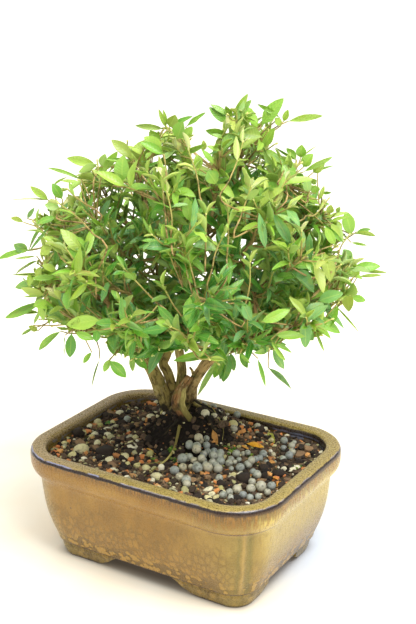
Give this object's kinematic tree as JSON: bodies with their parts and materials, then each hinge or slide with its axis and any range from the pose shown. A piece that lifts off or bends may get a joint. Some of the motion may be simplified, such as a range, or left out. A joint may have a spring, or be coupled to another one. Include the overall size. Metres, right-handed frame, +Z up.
{
  "type": "serissa bonsai in a glazed pot",
  "caption": "Small flowering-shrub bonsai with a domed leafy crown on bare twisting stems, rooted in soil in a low rectangular glazed pot on corner feet.",
  "frame": {"origin": "centre of the bounding box's bottom face, on the surface that the pot's feet stand on", "axes": "+Z up; +X along the pot's long side; +Y from the pot's front long side to its back"},
  "size_m": [0.1954, 0.1976, 0.2493],
  "materials": {
    "glaze": "speckled ochre stoneware glaze",
    "screen_plastic": "moulded",
    "soil": "damp gritty soil",
    "pellet": "coated, matte",
    "bark": "rough bark",
    "leaf": "satin leaf"
  },
  "bodies": {
    "root": {"pot": "glaze", "drainage_screen_left": "screen_plastic", "drainage_screen_right": "screen_plastic", "soil": "soil", "pellets": "pellet", "trunk": "bark", "spray_01": "leaf", "spray_02": "leaf", "spray_03": "leaf", "spray_04": "leaf", "spray_05": "leaf", "spray_06": "leaf", "spray_07": "leaf", "spray_08": "leaf", "spray_09": "leaf", "spray_10": "leaf", "spray_11": "leaf", "spray_12": "leaf", "spray_13": "leaf", "spray_14": "leaf", "spray_15": "leaf", "spray_16": "leaf", "spray_17": "leaf", "spray_18": "leaf", "spray_19": "leaf", "spray_20": "leaf", "spray_21": "leaf", "spray_22": "leaf", "spray_23": "leaf", "spray_24": "leaf", "spray_25": "leaf", "spray_26": "leaf", "spray_27": "leaf", "spray_28": "leaf", "spray_29": "leaf", "spray_30": "leaf", "spray_31": "leaf", "spray_32": "leaf", "spray_33": "leaf", "spray_34": "leaf", "spray_35": "leaf", "spray_36": "leaf", "spray_37": "leaf", "spray_38": "leaf", "spray_39": "leaf", "spray_40": "leaf", "spray_41": "leaf", "spray_42": "leaf", "spray_43": "leaf", "spray_44": "leaf", "spray_45": "leaf", "spray_46": "leaf", "spray_47": "leaf", "spray_48": "leaf", "spray_49": "leaf", "spray_50": "leaf", "spray_51": "leaf", "spray_52": "leaf"}
  },
  "joints": []
}
